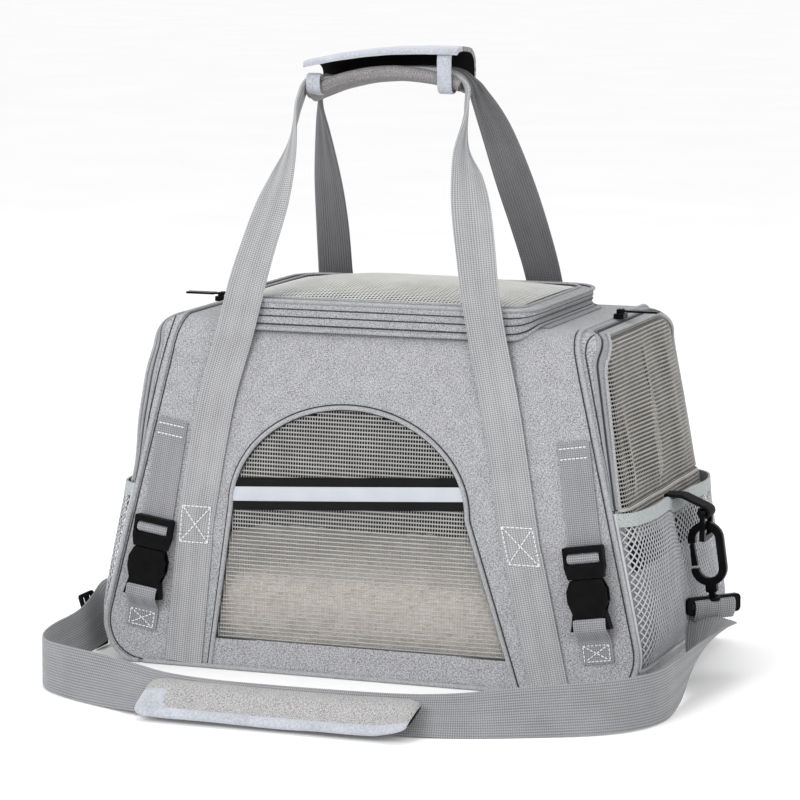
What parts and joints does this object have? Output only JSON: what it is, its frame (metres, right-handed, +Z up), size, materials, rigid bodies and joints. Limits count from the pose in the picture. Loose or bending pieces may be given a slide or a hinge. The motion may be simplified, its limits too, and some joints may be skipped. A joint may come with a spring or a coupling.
{
  "type": "pet carrier bag",
  "caption": "Soft-sided pet carrier with arched mesh window, zipped mesh lid and end doors, end pockets, wrapped carry handles, side-release buckles and a clip-on shoulder strap.",
  "frame": {"origin": "on the floor under the middle of the bag, at its bottom face", "axes": "+X along the bag to the right-hand end seen from the front, -Y out of the front panel, +Z up"},
  "size_m": [0.5233, 0.4207, 0.475],
  "materials": {
    "oxford_fabric": "heathered light grey oxford weave, padded",
    "coated_mesh": "see-through coated grid mesh, warm grey",
    "piping": "corded seam, grey with a dark edge",
    "black_webbing": "flat black webbing",
    "reflective": "silver reflective tape",
    "stiffener_board": "rigid board",
    "fleece": "cream plush fleece",
    "grey_webbing": "ribbed grey webbing",
    "grip_fabric": "grey oxford outside, black inside",
    "pale_trim": "pale grey elastic",
    "pad_fabric": "padded grey oxford with a pale velvet edge",
    "pocket_net": "light grey knitted net",
    "elastic": "pale elastic binding",
    "black_plastic": "moulded black acetal",
    "black_metal": "black enamelled zinc"
  },
  "bodies": {
    "root": {"front_panel": "oxford_fabric", "front_window_mesh": "coated_mesh", "window_piping": "piping", "window_band": "black_webbing", "reflective_tape": "reflective", "back_panel": "oxford_fabric", "front_piping": "piping", "back_piping": "piping", "bottom_panel": "oxford_fabric", "base_board": "stiffener_board", "fleece_mat": "fleece", "top_deck": "oxford_fabric", "front_handle_base": "grey_webbing", "back_handle_base": "grey_webbing", "strap_end_loops": "black_plastic", "shoulder_strap": "grey_webbing", "shoulder_pad": "pad_fabric", "strap_adjuster": "black_plastic", "left_end_panel": "oxford_fabric", "left_door_surround": "oxford_fabric", "left_pocket_net": "pocket_net", "left_pocket_hem": "elastic", "left_ring_tab": "grey_webbing", "left_buckle_straps": "grey_webbing", "left_buckle_socket": "black_plastic", "right_end_panel": "oxford_fabric", "right_door_surround": "oxford_fabric", "right_pocket_net": "pocket_net", "right_pocket_hem": "elastic", "right_ring_tab": "grey_webbing", "right_buckle_straps": "grey_webbing", "right_buckle_socket": "black_plastic"},
    "lid": {"lid_frame": "oxford_fabric", "lid_mesh": "coated_mesh"},
    "front_handle": {"front_handle": "grey_webbing", "grip_loops": "pale_trim"},
    "back_handle": {"back_handle": "grey_webbing", "handle_wrap": "grip_fabric"},
    "lid_slider": {"lid_slider": "black_metal"},
    "lid_pull": {"lid_pull": "black_metal"},
    "left_door": {"left_door_frame": "oxford_fabric", "left_door_mesh": "coated_mesh"},
    "left_door_slider": {"left_door_slider": "black_metal"},
    "left_door_pull": {"left_door_pull": "black_metal"},
    "left_ring": {"left_d_ring": "black_plastic"},
    "left_hook": {"left_snap_hook": "black_plastic"},
    "left_gate": {"left_hook_gate": "black_plastic"},
    "left_plug": {"left_buckle_plug": "black_plastic"},
    "left_inner_arm": {"left_buckle_inner_arm": "black_plastic"},
    "left_outer_arm": {"left_buckle_outer_arm": "black_plastic"},
    "right_door": {"right_door_frame": "oxford_fabric", "right_door_mesh": "coated_mesh"},
    "right_door_slider": {"right_door_slider": "black_metal"},
    "right_door_pull": {"right_door_pull": "black_metal"},
    "right_ring": {"right_d_ring": "black_plastic"},
    "right_hook": {"right_snap_hook": "black_plastic"},
    "right_gate": {"right_hook_gate": "black_plastic"},
    "right_plug": {"right_buckle_plug": "black_plastic"},
    "right_inner_arm": {"right_buckle_inner_arm": "black_plastic"},
    "right_outer_arm": {"right_buckle_outer_arm": "black_plastic"}
  },
  "joints": [
    {"name": "lid_open", "type": "hinge", "parent": "root", "child": "lid", "pos_m": [0, 0.078, 0.2725], "axis": [-1, 0, 0], "range_deg": [0, 45]},
    {"name": "front_handle_swing", "type": "hinge", "parent": "root", "child": "front_handle", "pos_m": [0, -0.1159, 0.131], "axis": [1, 0, 0], "range_deg": [0, 105]},
    {"name": "back_handle_swing", "type": "hinge", "parent": "root", "child": "back_handle", "pos_m": [0, 0.1159, 0.131], "axis": [-1, 0, 0], "range_deg": [0, 105]},
    {"name": "left_door_open", "type": "hinge", "parent": "root", "child": "left_door", "pos_m": [-0.2005, 0, 0.142], "axis": [0, -1, 0], "range_deg": [0, 95]},
    {"name": "right_door_open", "type": "hinge", "parent": "root", "child": "right_door", "pos_m": [0.2005, 0, 0.142], "axis": [0, 1, 0], "range_deg": [0, 95]},
    {"name": "left_plug_release", "type": "slide", "parent": "root", "child": "left_plug", "axis": [0.1487, 0.0678, 0.9866], "range_m": [0, 0.025]},
    {"name": "right_plug_release", "type": "slide", "parent": "root", "child": "right_plug", "axis": [-0.1487, 0.0678, 0.9866], "range_m": [0, 0.025]},
    {"name": "left_inner_arm_squeeze", "type": "hinge", "parent": "left_plug", "child": "left_inner_arm", "pos_m": [-0.16662, -0.12065, 0.08972], "axis": [0, 0.9976, -0.0685], "range_deg": [0, 7], "stiffness_Nm_per_rad": 0.05, "springref_deg": -2.86},
    {"name": "left_outer_arm_squeeze", "type": "hinge", "parent": "left_plug", "child": "left_outer_arm", "pos_m": [-0.18739, -0.12044, 0.09283], "axis": [0, -0.9976, 0.0685], "range_deg": [0, 7], "stiffness_Nm_per_rad": 0.05, "springref_deg": -2.86},
    {"name": "right_inner_arm_squeeze", "type": "hinge", "parent": "right_plug", "child": "right_inner_arm", "pos_m": [0.16662, -0.12065, 0.08972], "axis": [0, -0.9976, 0.0685], "range_deg": [0, 7], "stiffness_Nm_per_rad": 0.05, "springref_deg": -2.86},
    {"name": "right_outer_arm_squeeze", "type": "hinge", "parent": "right_plug", "child": "right_outer_arm", "pos_m": [0.18739, -0.12044, 0.09283], "axis": [0, 0.9976, -0.0685], "range_deg": [0, 7], "stiffness_Nm_per_rad": 0.05, "springref_deg": -2.86},
    {"name": "left_ring_swing", "type": "hinge", "parent": "root", "child": "left_ring", "pos_m": [-0.236, 0, 0.126], "axis": [0, 1, 0], "range_deg": [-8, 8]},
    {"name": "left_hook_swivel", "type": "hinge", "parent": "root", "child": "left_hook", "pos_m": [-0.234, 0, 0.118], "axis": [0.1392, 0, 0.9903], "range_deg": [-12, 12]},
    {"name": "left_gate_press", "type": "hinge", "parent": "left_hook", "child": "left_gate", "pos_m": [-0.2277, 0, 0.08379], "axis": [0, -1, 0], "range_deg": [0, 25], "stiffness_Nm_per_rad": 0.02, "springref_deg": -11.46},
    {"name": "right_ring_swing", "type": "hinge", "parent": "root", "child": "right_ring", "pos_m": [0.236, 0, 0.126], "axis": [0, 1, 0], "range_deg": [-8, 8]},
    {"name": "right_hook_swivel", "type": "hinge", "parent": "root", "child": "right_hook", "pos_m": [0.234, 0, 0.118], "axis": [-0.1392, 0, 0.9903], "range_deg": [-12, 12]},
    {"name": "right_gate_press", "type": "hinge", "parent": "right_hook", "child": "right_gate", "pos_m": [0.2277, 0, 0.08379], "axis": [0, 1, 0], "range_deg": [0, 25], "stiffness_Nm_per_rad": 0.02, "springref_deg": -11.46},
    {"name": "left_slider_travel", "type": "slide", "parent": "root", "child": "left_door_slider", "axis": [0, 1, 0], "range_m": [-0.06, 0.06]},
    {"name": "left_pull_flip", "type": "hinge", "parent": "left_door_slider", "child": "left_door_pull", "pos_m": [-0.166, 0, 0.2781], "axis": [0, 1, 0], "range_deg": [0, 170]},
    {"name": "right_slider_travel", "type": "slide", "parent": "root", "child": "right_door_slider", "axis": [0, 1, 0], "range_m": [-0.06, 0.06]},
    {"name": "right_pull_flip", "type": "hinge", "parent": "right_door_slider", "child": "right_door_pull", "pos_m": [0.166, 0, 0.2781], "axis": [0, -1, 0], "range_deg": [0, 170]},
    {"name": "lid_slider_travel", "type": "slide", "parent": "root", "child": "lid_slider", "axis": [0, 1, 0], "range_m": [-0.11, 0.015]},
    {"name": "lid_pull_flip", "type": "hinge", "parent": "lid_slider", "child": "lid_pull", "pos_m": [-0.133, 0.05, 0.2781], "axis": [0, 1, 0], "range_deg": [0, 100]}
  ],
  "couplings": [
    {"joint": "left_outer_arm_squeeze", "follows": "left_inner_arm_squeeze", "ratio": 1},
    {"joint": "right_outer_arm_squeeze", "follows": "right_inner_arm_squeeze", "ratio": 1}
  ]
}
